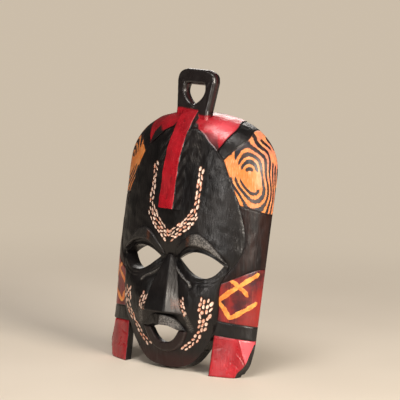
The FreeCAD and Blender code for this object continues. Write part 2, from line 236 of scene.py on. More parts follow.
def fill(loops, points):
    """Triangles over the area of the loops: coordinates, triangles and each loop point's index."""
    edges, start = [], 0
    for loop in loops:
        n = len(loop)
        edges += [(start + i, start + (i + 1) % n) for i in range(n)]
        start += n
    every = np.concatenate(list(loops) + [points])
    out = delaunay_2d_cdt([Vector(p) for p in every], edges, [], 0, 1e-6, True)
    coords = arr([(p.x, p.y) for p in out[0]])
    triangles = np.array([t for t in out[2] if len(t) == 3])
    middle = coords[triangles].mean(1)
    keep = inside(middle, loops[0])
    for hole in loops[1:]:
        keep &= ~inside(middle, hole)
    index = np.zeros(len(every), int)
    for new, old in enumerate(out[3]):
        for o in old:
            index[o] = new
    return coords, triangles[keep], index[:start]


# ---- meshes ----
def place(points):
    """Upright mask millimetres to the row frame in metres."""
    sin, cos = math.sin(LEAN), math.cos(LEAN)
    back = CROWN_TOP_V * sin
    front = NOSE_TIP[0] * sin - NOSE_TIP[1] * cos
    u, v, w = points.T
    return np.stack([u, v * sin - w * cos - (back + front) / 2, v * cos + w * sin], 1) / 1000


def drop_flaps(bm):
    """Takes off the slivers left hanging where a front and a back sheet meet at the rim."""
    for _ in range(4):
        flaps = []
        for face in bm.faces:
            sharing = [len(edge.link_faces) for edge in face.edges]
            if min(sharing) == 1 and max(sharing) > 2:
                flaps.append(face)
        bmesh.ops.delete(bm, geom=flaps, context="FACES")


def make(name, points, faces, materials, slots=None, fields=None, sharp=38):
    """Mesh object from upright points, with per-point fields and per-face material slots."""
    mesh = bpy.data.meshes.new(name)
    mesh.from_pydata(place(points).tolist(), [], [list(map(int, f)) for f in faces])
    for material in materials:
        mesh.materials.append(material)
    if slots is not None:
        mesh.polygons.foreach_set("material_index", np.array(slots, np.int32))
    for key, values in (fields or {}).items():
        mesh.attributes.new(key, "FLOAT", "POINT").data.foreach_set("value", np.array(values, np.float32))
    bm = bmesh.new()
    bm.from_mesh(mesh)
    bmesh.ops.remove_doubles(bm, verts=bm.verts, dist=4e-6)
    drop_flaps(bm)
    bmesh.ops.recalc_face_normals(bm, faces=bm.faces)
    if bm.calc_volume(signed=True) < 0:
        bmesh.ops.reverse_faces(bm, faces=bm.faces)
    bm.to_mesh(mesh)
    bm.free()
    mesh.shade_smooth()
    mesh.set_sharp_from_angle(angle=math.radians(sharp))
    piece = bpy.data.objects.new(name, mesh)
    bpy.context.scene.collection.objects.link(piece)
    return piece


def solid(name, front, back, materials, fields, sharp=38):
    """Closed solid between a front and a back sheet. Each is (points, triangles, loop indices, loop
    lengths): both have the same loop points, and walls join them. Materials are front, back, wall."""
    points, triangles, ring, lengths = front
    back_points, back_triangles, back_ring = back[:3]
    n = len(points)
    walls, start = [], 0
    for length in lengths:
        for i in range(length):
            a, b = start + i, start + (i + 1) % length
            walls.append((ring[a], ring[b], back_ring[b] + n, back_ring[a] + n))
        start += length
    faces = triangles.tolist() + (back_triangles[:, ::-1] + n).tolist() + walls
    slots = [0] * len(triangles) + [1] * len(back_triangles) + [2] * len(walls)
    spread = {key: np.r_[values, np.full(len(back_points), default)]
              for key, (values, default) in fields.items()}
    return make(name, np.concatenate([points, back_points]), faces, materials, slots, spread, sharp)


def mirrored_piece(piece, name):
    """A left-hand copy of a right-hand piece."""
    mesh = piece.data.copy()
    mesh.transform(Matrix.Scale(-1, 4, Vector((1, 0, 0))))
    mesh.flip_normals()
    mesh.name = name
    copy = bpy.data.objects.new(name, mesh)
    bpy.context.scene.collection.objects.link(copy)
    return copy


def keep(piece, slot, *nodes):
    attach(piece, "root")
    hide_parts(*nodes)
    return piece


def lofted(name, rings, materials, slots=None, fields=None, sharp=38):
    """Closed solid through rings of equal length, its ends closed by fans."""
    rings = arr(rings)
    rows, cols = rings.shape[:2]
    points = rings.reshape(-1, 3)
    ends = np.stack([rings[0].mean(0), rings[-1].mean(0)])
    faces, kinds = [], []
    for r in range(rows - 1):
        for c in range(cols):
            d = (c + 1) % cols
            faces.append((r * cols + c, r * cols + d, (r + 1) * cols + d, (r + 1) * cols + c))
            kinds.append(0 if slots is None else slots[c])
    for c in range(cols):
        d = (c + 1) % cols
        faces.append((rows * cols, d, c))
        faces.append((rows * cols + 1, (rows - 1) * cols + c, (rows - 1) * cols + d))
        kinds += [len(materials) - 1] * 2
    spread = {key: np.r_[arr(values).ravel(), 0, 0] for key, values in (fields or {}).items()}
    return make(name, np.concatenate([points, ends]), faces, materials, kinds, spread, sharp)


# ---- shell surfaces ----
def arch(v, rise, power):
    step = np.clip((arr(v) - SHOULDER_V) / rise, 0, 1)
    return (1 - step ** power) ** (1 / power)


def wing_width(v):
    return HALF_WIDTH * arch(v, CROWN_RISE, ARCH_POWER)


def wing_depth(v):
    return np.interp(v, LEVELS, WING_DEPTHS) * arch(v, CROWN_RISE, BROW_POWER)


def smooth_depth(v, depths):
    return spline_weights(LEVELS, v) @ arr(depths)


def hollow_w(u, v):
    """Height of the hollow's floor above the rim plane, zero outside the hollow."""
    rise = CROWN_RISE - SIDE_WALL
    width = (HALF_WIDTH - SIDE_WALL) * arch(v, rise, ARCH_POWER)
    depth = smooth_depth(v, HOLLOW_DEPTHS) * arch(v, rise, BROW_POWER)
    ratio = np.clip(np.abs(u) / np.maximum(width, 1e-6), 0, 1)
    return depth * np.sqrt(1 - ratio ** 2)


THETA = np.linspace(0, math.pi / 2, 600)
ARC_V = SHOULDER_V + CROWN_RISE * np.sin(THETA)
ARC_Q = SHOULDER_V + np.r_[0, np.cumsum(np.sqrt(
    np.diff(ARC_V) ** 2 + (np.diff(wing_width(ARC_V)) ** 2 + np.diff(wing_depth(ARC_V)) ** 2) / 2))]


def to_q(v):
    return np.where(arr(v) < SHOULDER_V, v, np.interp(v, ARC_V, ARC_Q))


def to_v(q):
    return np.where(arr(q) < SHOULDER_V, q, np.interp(q, ARC_Q, ARC_V))


def unroll(points):
    """Front view (u, v) to the wing's own surface coordinates (p, q)."""
    u, v = arr(points).T
    ratio = np.clip(u / np.maximum(wing_width(v), 1e-6), -1, 1)
    return np.stack([np.arcsin(ratio) / (math.pi / 2) * LATERAL, to_q(v)], 1)


def wing(pq):
    angle = np.clip(pq[:, 0] / LATERAL, -1, 1) * math.pi / 2
    v = to_v(pq[:, 1])
    depth = smooth_depth(v, WING_DEPTHS) * arch(v, CROWN_RISE, BROW_POWER)
    return np.stack([wing_width(v) * np.sin(angle), v, depth * np.cos(angle)], 1)


def crown(xy):
    """Crown surface over (u, angle x radius): the angle turns from the rim plane to the front."""
    u, turn = xy[:, 0], xy[:, 1] / CROWN_RISE
    low, high = np.zeros(len(u)), np.full(len(u), 90.0)
    for _ in range(40):
        r = (low + high) / 2
        v, w = SHOULDER_V + r * np.cos(turn), r * np.sin(turn)
        width, depth = np.maximum(wing_width(v), 1e-6), np.maximum(wing_depth(v), 1e-6)
        out = (u / width) ** 2 + (w / depth) ** 2 > 1
        high = np.where(out, r, high)
        low = np.where(out, low, r)
    r = (low + high) / 2
    return np.stack([u, SHOULDER_V + r * np.cos(turn), r * np.sin(turn)], 1)


def plain_w(u, v):
    width = np.maximum(wing_width(v), 1e-6)
    return wing_depth(v) * np.sqrt(np.clip(1 - (u / width) ** 2, 0, 1))


def crown_coords(points):
    u, v = arr(points).T
    return np.stack([u, np.arctan2(plain_w(u, v), v - SHOULDER_V) * CROWN_RISE], 1)


def face_w(u, v):
    """Carved front of the face; above the brow it's the wings' own round section."""
    knots = [-s for s in STATIONS[:0:-1]] + list(STATIONS)
    grid = arr([list(row[:0:-1]) + list(row) for level, row in FACE_ROWS])
    held = np.clip(u, -66.0, 66.0)
    up, across = spline_weights([row[0] for row in FACE_ROWS], v), spline_weights(knots, held)
    carved = np.einsum("ij,ik,jk->i", up, across, grid)
    carved += plain_w(u, v) - plain_w(held, v)
    blend = np.clip((v - 128) / 14, 0, 1)
    blend = blend * blend * (3 - 2 * blend)
    return carved * (1 - blend) + plain_w(u, v) * blend


def normals(surface, at, points):
    """Outward unit normals of a surface by small steps in its coordinates."""
    step = 0.05
    across = surface(at + (step, 0)) - surface(at - (step, 0))
    up = surface(at + (0, step)) - surface(at - (0, step))
    n = np.cross(across, up)
    n /= np.maximum(np.linalg.norm(n, axis=1), 1e-9)[:, None]
    return n


def bump(d, radius):
    """Rounded edge profile: 0 on the edge, 1 a radius inside."""
    t = np.clip(d / radius, 0, 1)
    return np.sqrt(1 - (1 - t) ** 2)


def groove(d, half, depth):
    return -depth * np.clip(1 - d / half, 0, 1)


def waves(x, y, scale, seed):
    """Cheap smooth pseudo-random relief, about -1 to 1."""
    rng = np.random.default_rng(seed)
    total = np.zeros_like(x)
    for _ in range(7):
        angle, phase, stretch = rng.uniform(0, math.pi), rng.uniform(0, 6.28), rng.uniform(0.6, 1.7)
        total += np.sin((x * math.cos(angle) + y * math.sin(angle)) / scale * stretch + phase)
    return total / 3.5


# ---- carved chips ----
def chip_row(line, offset, pitch, shift, length, width):
    """Chips along one row beside a line: centre, direction, half length, half width, tint."""
    line = smooth(line, 0.5)
    tangent = np.gradient(line, axis=0)
    tangent /= np.linalg.norm(tangent, axis=1)[:, None]
    run = np.arange(shift * pitch, 0.5 * (len(line) - 1), pitch)
    chips = []
    for s in run:
        i = int(np.clip(round(s / 0.5 + RANDOM.normal(0, 0.5)), 0, len(line) - 1))
        t = tangent[i]
        centre = line[i] + offset * arr((-t[1], t[0])) + RANDOM.normal(0, 0.32, 2)
        turn = math.atan2(t[1], t[0]) + RANDOM.normal(0, 0.26)
        chips.append((*centre, turn, length / 2 * RANDOM.uniform(0.8, 1.05),
                      width / 2 * RANDOM.uniform(0.7, 1.2), RANDOM.uniform(0, 1)))
    return chips


def chip_band(line, rows, gap, pitch, length, width):
    chips = []
    for k in range(rows):
        offset = (k - (rows - 1) / 2) * gap
        chips += chip_row(line, offset, pitch, 0.3 + 0.5 * (k % 2), length, width)
    return chips


def chip_fields(uv, chips):
    """Largest chip profile at each point, 1 in a chip's middle and 0 on its edge, and its tint."""
    best, tint = np.full(len(uv), -1.0), np.zeros(len(uv))
    for cx, cy, turn, a, b, shade in chips:
        d = uv - (cx, cy)
        near = np.abs(d).max(1) < 5
        d = d[near]
        x = d[:, 0] * math.cos(turn) + d[:, 1] * math.sin(turn)
        y = -d[:, 0] * math.sin(turn) + d[:, 1] * math.cos(turn)
        value = 1 - (x / a) ** 2 - (y / b) ** 2
        better = value > best[near]
        at = np.flatnonzero(near)[better]
        best[at], tint[at] = value[better], shade
    return best, tint


SIDE_LINE = ((28.5, 205.0), (28.5, 160.0))
ARM_LINE = ((28.3, 158.5), (24.0, 151.5), (14.0, 141.0), (1.2, 130.8))
CHEEK_TOP = ((49.8, 74.5), (49.3, 65.0), (48.0, 57.0))
CHEEK_MID = ((48.0, 56.0), (46.0, 48.5), (42.5, 41.5))
CHEEK_LOW = ((41.5, 39.0), (36.0, 32.0), (29.0, 24.5), (20.0, 17.5))
FOLD_LINE = ((22.0, 71.0), (25.0, 62.0), (28.0, 53.0))
FOLD_TAIL = ((27.0, 56.0), (30.0, 48.0), (32.0, 41.0))


# Each band: its line, half width, rows of chips, gap between rows, pitch, chip length and width.
CHIP_BANDS = (
    (SIDE_LINE, 3.4, 2, 3.3, 6.0, 5.8, 2.3),
    (ARM_LINE, 6.0, 4, 3.0, 5.7, 5.4, 2.2),
    (CHEEK_TOP, 6.4, 4, 3.3, 5.8, 5.4, 2.5),
    (CHEEK_MID, 4.8, 3, 3.1, 5.6, 5.2, 2.4),
    (CHEEK_LOW, 3.4, 2, 3.3, 5.4, 4.9, 2.3),
    (FOLD_LINE, 4.0, 3, 2.8, 4.6, 4.2, 1.9),
)


def right_chips():
    return [chip for line, half, *rest in CHIP_BANDS for chip in chip_band(line, *rest)]


def mirror_chips(chips):
    return [(-x, y, math.pi - turn, a, b, shade) for x, y, turn, a, b, shade in chips]


CHIPS = right_chips()
CHIPS += mirror_chips(right_chips())



def band_distance(uv):
    """How far each point is outside the chip-cut bands, negative inside them."""
    folded = np.abs(uv) * (1, 0) + uv * (0, 1)
    return np.min([distance(folded, smooth(line, 2.0)) - half for line, half, *rest in CHIP_BANDS], 0)


# ---- materials ----
class Shader:
    """A few words for wiring a node material."""

    def __init__(self, name):
        self.material = bpy.data.materials.new(name)
        self.material.use_nodes = True
        self.tree = self.material.node_tree
        self.bsdf = self.tree.nodes["Principled BSDF"]
        self.position = self.node("ShaderNodeTexCoord").outputs["Object"]

    def node(self, kind, inputs=None, **settings):
        made = self.tree.nodes.new(kind)
        for key, value in settings.items():
            setattr(made, key, value)
        for key, value in (inputs or {}).items():
            self.set(made.inputs[key], value)
        return made

    def set(self, socket, value):
        if isinstance(value, bpy.types.NodeSocket):
            self.tree.links.new(value, socket)
        else:
            socket.default_value = value

    def field(self, name):
        return self.node("ShaderNodeAttribute", attribute_name=name).outputs["Fac"]

    def stretch(self, scale, turn=(0, 0, 0)):
        inputs = {"Vector": self.position, "Scale": scale, "Rotation": turn}
        return self.node("ShaderNodeMapping", inputs).outputs[0]

    def noise(self, scale, detail=3.0, rough=0.55, vector=None):
        inputs = {"Vector": vector or self.position, "Scale": scale, "Detail": detail, "Roughness": rough}
        return self.node("ShaderNodeTexNoise", inputs).outputs["Fac"]

    def ramp(self, value, low, high, out_low=0.0, out_high=1.0):
        return self.node("ShaderNodeMapRange", {"Value": value, "From Min": low, "From Max": high,
                                                "To Min": out_low, "To Max": out_high},
                         interpolation_type="SMOOTHSTEP").outputs[0]

    def patches(self, scale, detail, low, high, out_low=0.0, out_high=1.0):
        return self.ramp(self.noise(scale, detail), low, high, out_low, out_high)

    def math(self, operation, a, b=0.0):
        made = self.tree.nodes.new("ShaderNodeMath")
        made.operation = operation
        self.set(made.inputs[0], a)
        self.set(made.inputs[1], b)
        return made.outputs[0]

    def mix(self, fac, a, b):
        made = self.tree.nodes.new("ShaderNodeMix")
        made.data_type = "RGBA"
        for socket, value in zip((made.inputs[0], made.inputs[6], made.inputs[7]), (fac, a, b)):
            self.set(socket, value if isinstance(value, (bpy.types.NodeSocket, float)) else (*value, 1.0))
        return made.outputs[2]

    def finish(self, colour, rough, heights, coat=0.0, coat_rough=0.2, specular=0.5):
        """heights are (height output, distance in metres) pairs, stacked as bumps."""
        normal = None
        for height, reach in heights:
            inputs = {"Height": height, "Strength": 1.0, "Distance": reach}
            if normal:
                inputs["Normal"] = normal
            normal = self.node("ShaderNodeBump", inputs).outputs[0]
        self.set(self.bsdf.inputs["Base Color"], colour)
        self.set(self.bsdf.inputs["Roughness"], rough)
        if normal:
            self.set(self.bsdf.inputs["Normal"], normal)
        self.bsdf.inputs["Coat Weight"].default_value = coat
        self.bsdf.inputs["Coat Roughness"].default_value = coat_rough
        self.bsdf.inputs["Specular IOR Level"].default_value = specular
        return self.material

    def tooling(self, turn, fine=900.0, coarse=160.0):
        """Scraper and brush marks running along one direction."""
        marks = self.noise(1.0, 2.0, 0.6, self.stretch((fine, fine, coarse * 0.25), turn))
        swells = self.noise(1.0, 1.0, 0.5, self.stretch((coarse, coarse, coarse * 0.3), turn))
        return marks, swells


def black_ground(s, wear_and_highlight):
    """Colour of the black paint before its last layer, and the heights of its tool marks."""
    marks, swells = s.tooling((0.5, 0.35, 0.2))
    grain = s.noise(1.0, 4.0, 0.6, s.stretch((420, 420, 28)))
    colour = s.mix(s.patches(38.0, 4.0, 0.35, 0.7), (0.0035, 0.003, 0.0035), (0.012, 0.010, 0.010))
    colour = s.mix(s.ramp(marks, 0.6, 0.78, 0.0, 0.3), colour, wear_and_highlight)
    return colour, ((swells, 0.0008), (marks, 0.0003), (grain, 0.0001))


BLACK_GLOSS = {"coat": 0.14, "coat_rough": 0.27, "specular": 0.3}


def black_paint():
    s = Shader("black_paint")
    colour, heights = black_ground(s, (0.024, 0.019, 0.018))
    colour = s.mix(s.patches(24.0, 3.0, 0.6, 0.78, 0.0, 0.4), colour, (0.02, 0.006, 0.004))
    return s.finish(colour, s.patches(60.0, 4.0, 0.3, 0.75, 0.27, 0.48), heights, **BLACK_GLOSS)


def carved_black():
    """Black face paint with its cut chips, brown bands, painted greyish highlights on ridges, creases and
    facets, and incised lines.
    """
    s = Shader("black_paint_carved")
    colour, heights = black_ground(s, (0.024, 0.020, 0.019))
    colour = s.mix(s.ramp(s.field("red_brown"), 0.0, 1.0), colour, (0.04, 0.005, 0.005))
    # Painted highlights: the black turns greyish where light catches ridges, creases and facets.
    grey_highlight = s.math("MULTIPLY", s.field("grey_highlight"), s.patches(700.0, 2.0, 0.42, 0.6, 0.25, 1.0))
    colour = s.mix(grey_highlight, colour, (0.25, 0.235, 0.22))
    grit = s.patches(420.0, 3.0, 0.34, 0.62, 0.15, 1.0)
    band = s.math("MULTIPLY", s.ramp(s.field("band"), 0.3, -1.2), grit)
    colour = s.mix(band, colour, (0.10, 0.030, 0.013))
    pale = s.mix(s.ramp(s.field("tint"), 0.25, 0.95), (0.86, 0.62, 0.50), (0.72, 0.28, 0.16))
    pale = s.mix(s.patches(500.0, 2.0, 0.4, 0.7), pale, (0.9, 0.74, 0.64))
    cut = s.ramp(s.field("chip"), -0.02, 0.16)
    colour = s.mix(cut, colour, pale)
    shine = s.patches(60.0, 4.0, 0.3, 0.75, 0.3, 0.5)
    shine = s.math("MAXIMUM", shine, s.math("MULTIPLY", cut, 0.55))
    return s.finish(colour, shine, heights, **BLACK_GLOSS)


def red_paint():
    s = Shader("red_paint")
    marks, swells = s.tooling((0.25, 0.5, 0.1))
    colour = s.mix(s.patches(45.0, 4.0, 0.3, 0.72), (0.24, 0.003, 0.009), (0.44, 0.008, 0.018))
    colour = s.mix(s.ramp(marks, 0.56, 0.74, 0.0, 0.45), colour, (0.70, 0.05, 0.06))
    scratches = s.noise(1.0, 2.0, 0.7, s.stretch((260, 260, 40), (0.9, 0.2, 0.4)))
    colour = s.mix(s.ramp(scratches, 0.66, 0.72, 0.0, 0.6), colour, (0.08, 0.004, 0.006))
    colour = s.mix(s.field("black"), colour, (0.012, 0.009, 0.009))
    # Painted highlights: lighter pinkish red where light catches the cap's right side, the crest's right edge
    # and the feet's outer facets.
    colour = s.mix(s.field("pink_tint_and_highlight"), colour, (0.78, 0.10, 0.13))
    colour = s.mix(s.ramp(s.field("border"), 0.9, 0.2, 0.0, 0.85), colour, (0.03, 0.004, 0.005))
    shine = s.patches(80.0, 4.0, 0.3, 0.75, 0.24, 0.42)
    return s.finish(colour, shine, ((swells, 0.0006), (marks, 0.0002)), coat=0.35, coat_rough=0.22)


def zebra_paint():
    s = Shader("zebra_paint")
    marks, swells = s.tooling((0.4, 0.3, 0.6))
    warm = s.ramp(s.field("pink_tint_and_highlight"), 0.0, 1.0)
    colour = s.mix(warm, (0.70, 0.19, 0.03), (0.66, 0.20, 0.11))
    colour = s.mix(s.patches(95.0, 4.0, 0.35, 0.7, 0.0, 0.8), colour, (0.80, 0.31, 0.09))
    colour = s.mix(s.ramp(marks, 0.52, 0.74, 0.0, 0.6), colour, (0.85, 0.48, 0.27))
    ragged = s.math("ADD", s.field("ink"), s.patches(520.0, 3.0, 0.3, 0.7, -0.35, 0.35))
    ink = s.ramp(ragged, 0.22, -0.22)
    dark = s.mix(s.patches(160.0, 3.0, 0.4, 0.7), (0.012, 0.010, 0.016), (0.05, 0.022, 0.016))
    colour = s.mix(ink, colour, dark)
    colour = s.mix(s.ramp(s.field("border"), 1.0, 0.25, 0.0, 0.9), colour, (0.015, 0.010, 0.010))
    shine = s.patches(90.0, 4.0, 0.3, 0.75, 0.34, 0.52)
    heights = ((swells, 0.0004), (marks, 0.0002), (ink, 0.00015))
    return s.finish(colour, shine, heights, coat=0.15, coat_rough=0.3)


def giraffe_paint():
    s = Shader("giraffe_paint")
    marks, swells = s.tooling((0.4, 0.3, 0.6))
    colour = s.mix(s.patches(85.0, 4.0, 0.34, 0.7), (0.05, 0.003, 0.006), (0.25, 0.010, 0.010))
    colour = s.mix(s.patches(50.0, 2.0, 0.55, 0.75, 0.0, 0.7), colour, (0.035, 0.008, 0.03))
    colour = s.mix(s.ramp(s.field("pink_tint_and_highlight"), 0.0, 1.0, 0.0, 0.5), colour, (0.42, 0.018, 0.010))
    colour = s.mix(s.ramp(marks, 0.58, 0.76, 0.0, 0.5), colour, (0.55, 0.10, 0.05))
    ragged = s.math("ADD", s.field("ink"), s.patches(480.0, 3.0, 0.3, 0.7, -0.35, 0.35))
    line = s.ramp(ragged, 0.3, -0.25)
    bright = s.mix(s.patches(130.0, 3.0, 0.35, 0.68), (0.80, 0.19, 0.03), (0.90, 0.40, 0.08))
    colour = s.mix(line, colour, bright)
    colour = s.mix(s.ramp(s.field("border"), 1.0, 0.25, 0.0, 0.9), colour, (0.015, 0.006, 0.006))
    shine = s.patches(90.0, 4.0, 0.3, 0.75, 0.3, 0.5)
    heights = ((swells, 0.0005), (marks, 0.0002), (line, 0.00018))
    return s.finish(colour, shine, heights, coat=0.2, coat_rough=0.28)


def brown_paint():
    s = Shader("brown_paint")
    marks, swells = s.tooling((0.0, 0.15, 0.0), 700.0, 220.0)
    streaks = s.noise(1.0, 4.0, 0.6, s.stretch((110, 110, 22)))
    colour = s.mix(s.ramp(streaks, 0.35, 0.7), (0.006, 0.0035, 0.004), (0.024, 0.008, 0.006))
    colour = s.mix(s.ramp(marks, 0.58, 0.76, 0.0, 0.4), colour, (0.04, 0.018, 0.013))
    colour = s.mix(s.ramp(s.field("border"), 0.9, 0.2, 0.0, 0.9), colour, (0.006, 0.004, 0.004))
    shine = s.patches(70.0, 4.0, 0.3, 0.75, 0.34, 0.52)
    return s.finish(colour, shine, ((swells, 0.0005), (marks, 0.0002)), coat=0.03, coat_rough=0.3,
                    specular=0.26)


def raw_wood():
    """Stained, gouged wood of the hollow and the rim."""
    s = Shader("stained_wood")
    grain = s.noise(1.0, 5.0, 0.62, s.stretch((330, 330, 16)))
    pores = s.noise(1.0, 2.0, 0.7, s.stretch((1500, 1500, 90)))
    colour = s.mix(s.ramp(grain, 0.3, 0.7), (0.045, 0.020, 0.010), (0.145, 0.072, 0.036))
    colour = s.mix(s.ramp(pores, 0.58, 0.7, 0.0, 0.7), colour, (0.018, 0.009, 0.006))
    colour = s.mix(s.patches(20.0, 3.0, 0.45, 0.75, 0.0, 0.6), colour, (0.02, 0.011, 0.009))
    shine = s.ramp(grain, 0.3, 0.7, 0.52, 0.38)
    return s.finish(colour, shine, ((grain, 0.0003), (pores, 0.0001)), specular=0.45)


BLACK = black_paint()
CARVED = carved_black()
RED = red_paint()
ZEBRA = zebra_paint()
GIRAFFE = giraffe_paint()
BROWN = brown_paint()
WOOD = raw_wood()


# ---- shared backs of the shell pieces ----
GOUGE_LENGTH, GOUGE_WIDTH, GOUGE_DEPTH, GOUGE_SINK = 13.0, 9.0, 2.2, 0.9


def back_sheet(loops, wall=None):
    """Back of a shell piece over (u, v) loops: the gouged hollow, its edge and the flat rim. A wall
    thickness hollows it deeper than the rest of the mask."""
    rise = CROWN_RISE - SIDE_WALL
    rows = np.r_[np.arange(-8, SHOULDER_V, 2.6), SHOULDER_V + rise * np.sin(np.linspace(0, math.pi / 2, 26))]
    angles = np.linspace(-math.pi / 2, math.pi / 2, 81)
    widths = (HALF_WIDTH - SIDE_WALL) * arch(rows, rise, ARCH_POWER)
    grid = [(width * math.sin(a), v) for width, v in zip(widths, rows) for a in angles]
    rim = [(side * (w0 + (w1 - w0) * k / 4), v) for w0, w1, v in zip(widths, wing_width(rows), rows)
           for k in (1, 2, 3) for side in (-1, 1)]
    rim += [(u, v) for v in (253.5, 256.0, 258.5, 260.5) for u in np.arange(-60, 61, 3.0)]
    points = arr(grid + rim)
    ok = inside(points, loops[0])
    for hole in loops[1:]:
        ok &= ~inside(points, hole)
    points = points[ok]
    points = points[loops_distance(points, loops, 1.5) > 0.8]
    points = points[np.unique(np.round(points, 2), axis=0, return_index=True)[1]]
    coords, triangles, ring = fill(loops, points)
    u, v = coords.T
    w = hollow_w(u, v)
    scoop = np.abs(np.sin(math.pi * (v + 3.0 * np.sin(u / 11.0)) / GOUGE_LENGTH))
    scoop = scoop * np.abs(np.sin(math.pi * (u + 2 * np.sin(v / 17)) / GOUGE_WIDTH))
    fade = np.clip(loops_distance(coords, loops) / 4, 0, 1)
    w = np.where(w > 4, w + fade * (GOUGE_DEPTH * scoop - GOUGE_SINK), w)
    if wall:
        w = np.maximum(w, np.where(np.abs(u) < 80, plain_w(u, v) * 0.98 - wall, 0))
    return np.stack([u, v, w], 1), triangles, ring


def shell_piece(name, loops, surface, to_uv, step, relief, materials, fields, fine=None, sharp=38, wall=None):
    """Closed shell zone: front over its own surface coordinates, back over the front view."""
    coords, triangles, ring = fill(loops, scatter(loops, step, fine))
    border = loops_distance(coords, loops)
    points = surface(coords)
    lift = relief(coords, points, border)
    on_rim = np.abs(points[:, 2]) < 1e-3
    lift = np.where(on_rim, 0, lift)
    points = points + normals(surface, coords, points) * lift[:, None]
    uv_loops = [to_uv[i](loop) for i, loop in enumerate(loops)]
    back = back_sheet(uv_loops, wall)
    values = {"border": (border, 9.0)}
    for key, field in fields.items():
        values[key] = (field(coords, points), 0.0)
    front = points, triangles, ring, [len(loop) for loop in loops]
    return solid(name, front, back, materials, values, sharp)


# ---- face ----
def carved_face(uv):
    return np.stack([uv[:, 0], uv[:, 1], face_w(uv[:, 0], uv[:, 1])], 1)


LID_CREASE = smooth(((0.5, 106.0), (10.0, 99.0), (20.0, 91.5), (28.0, 87.0), (30.5, 84.0)), 1.5)
EYE_LOW_LINE = smooth(EYE_LOW, 1.5)
EYE_TOP_LINE = smooth(EYE_TOP, 1.5)


def folded(uv):
    return np.stack([np.abs(uv[:, 0]), uv[:, 1]], 1)


def face_relief(uv, points, border):
    half = folded(uv)
    chip, _ = chip_fields(uv, CHIPS)
    lift = -0.75 * np.sqrt(np.clip(chip, 0, 1))
    lift += groove(border, 0.7, 0.4)
    crease = distance(half, LID_CREASE)
    lift += 0.6 * np.exp(-(crease / 0.8) ** 2) - 0.7 * np.exp(-((crease - 2.2) / 1.1) ** 2)
    below = distance(half, EYE_LOW_LINE)
    under = half[:, 1] < np.interp(half[:, 0], EYE_LOW_LINE[::-1, 0], EYE_LOW_LINE[::-1, 1]) + 1
    lift += np.where(under, groove(np.abs(below - 3.6), 0.8, 0.6) + groove(np.abs(below - 7.0), 0.8, 0.5), 0)
    socket = distance(half, EYE_TOP_LINE)
    lift += -1.4 * np.exp(-((socket - 3.0) / 2.6) ** 2) * (half[:, 1] > 100)
    lift += 0.22 * waves(*uv.T, 5.5, 3) + 0.12 * waves(*uv.T, 2.4, 4)
    return lift


def face_highlights(uv, points):
    # Painted highlights on the face: a greyish line along the lid crease with a bright dot at its end, a
    # stippled greyish patch along the fold tail where light falls, and greyish sheen painted on the hatch
    # marks beside the crest.
    half = folded(uv)
    crease = distance(half, LID_CREASE)
    value = np.exp(-(crease / 0.6) ** 2)
    value = np.maximum(value, np.exp(-(np.hypot(half[:, 0] - 30.3, half[:, 1] - 84.5) / 1.2) ** 2))
    tail = distance(half, smooth(FOLD_TAIL, 1.0))
    value = np.maximum(value, 0.6 * np.clip(1.6 - tail / 2.4, 0, 1) * (0.4 + 0.6 * stipple(uv, 1.7, 0.85)))
    scribble = np.clip(1 - np.abs(half[:, 0] - 19.5) / 8, 0, 1) * np.clip((half[:, 1] - 196) / 14, 0, 1)
    phase = 2.1 * half[:, 0] + 1.1 * half[:, 1] + waves(*uv.T, 3.0, 6)
    hatch = np.clip(np.sin(phase) - 0.5, 0, 1)
    return np.maximum(value, 0.5 * np.clip(scribble * 2, 0, 1) * hatch)


def eye_back(loop):
    """The eye hole's outline where it comes out in the hollow: square to the curved face."""
    u, v = loop.T
    side = np.sign(u)
    out = u.copy()
    for _ in range(4):
        out = side * (np.abs(u) + EYE_SLANT * (hollow_w(out, v) - 44.0 + 0.0023 * u * u))
    return np.stack([out, v], 1)


def mouth_back(loop):
    u, v = loop.T
    scale = 1 + (MOUTH_BACK_SCALE - 1) * (MOUTH_FLARE_W - hollow_w(u, v)) / MOUTH_FLARE_W
    return np.stack([u * scale, MOUTH_MIDDLE_V + (v - MOUTH_MIDDLE_V) * (1 + (scale - 1) / 2)], 1)


def same(loop):
    return loop


FACE_TOP = arr(((-14.0, 243.0), (14.0, 243.0)))    # its edge under the crest


def build_face():
    right = [smooth(CROWN_EDGE, 0.5), smooth(FACE_EDGE, 0.5)]
    outline = joined([FACE_TOP] + right + [mirror(run) for run in right[::-1]], 1.1)
    eye = joined([smooth(EYE_TOP), smooth(EYE_LOW)], 1.1)
    mouth = joined([smooth(whole(MOUTH_TOP)), smooth(whole(MOUTH_LOW)[::-1])], 1.1)
    loops = [outline, eye, eye[::-1] * (-1, 1), mouth]
    fields = {
        "chip": lambda uv, p: chip_fields(uv, CHIPS)[0],
        "tint": lambda uv, p: chip_fields(uv, CHIPS)[1],
        "band": lambda uv, p: 1 - 3 * np.clip((chip_fields(uv, CHIPS)[0] + 1) / 0.5, 0, 1),
        "grey_highlight": face_highlights,
        "red_brown": lambda uv, p: np.clip((22 - uv[:, 1]) / 14, 0, 1) * 0.5,
    }
    backs = same, eye_back, eye_back, mouth_back
    piece = shell_piece("face_carved", loops, carved_face, backs, 1.35, face_relief,
                        [CARVED, WOOD, BLACK], fields, fine=lambda uv: band_distance(uv) < 2.0)
    keep(piece, "black_paint", "forehead", "face", "jaw")


# ---- wing zones ----
EDGE_LINE = np.concatenate([smooth(CROWN_EDGE, 0.25), smooth(FACE_EDGE, 0.25)[1:]])


